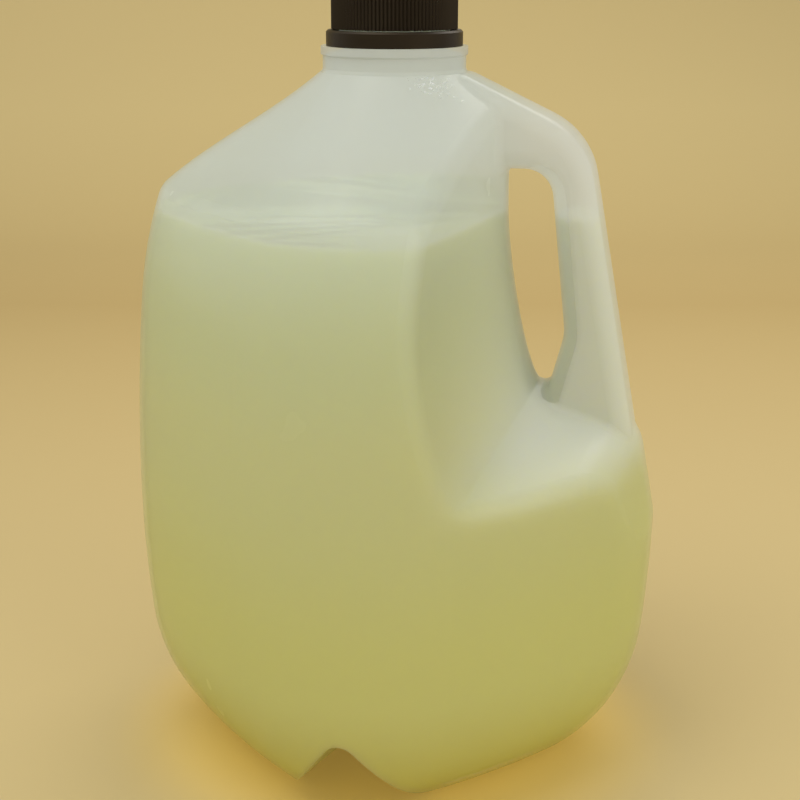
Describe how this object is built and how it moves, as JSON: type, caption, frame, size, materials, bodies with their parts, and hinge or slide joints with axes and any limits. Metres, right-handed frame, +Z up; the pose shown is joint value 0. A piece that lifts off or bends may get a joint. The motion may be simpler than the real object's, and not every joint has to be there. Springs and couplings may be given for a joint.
{
  "type": "lemonade jug",
  "caption": "Blow-moulded plastic jug full of lemonade, rounded square body, hollow handle at one corner, short neck, ribbed screw cap with a liner and a tamper band.",
  "frame": {"origin": "centre of the base, on the surface it stands on, on the axis of the neck", "axes": "+Z up along the neck; +X towards the handle; the mould parts on the plane Y = 0"},
  "size_m": [0.1748, 0.1748, 0.25],
  "materials": {
    "jug_plastic": "translucent blown polyethylene, satin",
    "lemonade": "cloudy pale yellow drink",
    "cap_plastic": "near-black moulded plastic, semi-gloss",
    "liner_foam": "white foam sheet"
  },
  "bodies": {
    "bottle": {"jug": "jug_plastic", "lemonade": "lemonade", "tamper_band": "cap_plastic"},
    "liner": {"cap_liner": "liner_foam"},
    "cap": {"screw_cap": "cap_plastic"}
  },
  "joints": [
    {"name": "cap_rise", "type": "slide", "parent": "bottle", "child": "liner", "axis": [0, 0, 1], "range_m": [0, 0.0106]},
    {"name": "cap_turn", "type": "hinge", "parent": "liner", "child": "cap", "pos_m": [0, 0, 0.247], "axis": [0, 0, 1], "range_deg": [0, 900]}
  ],
  "couplings": [
    {"joint": "cap_rise", "follows": "cap_turn", "m_per_rad": 0.00067376}
  ]
}
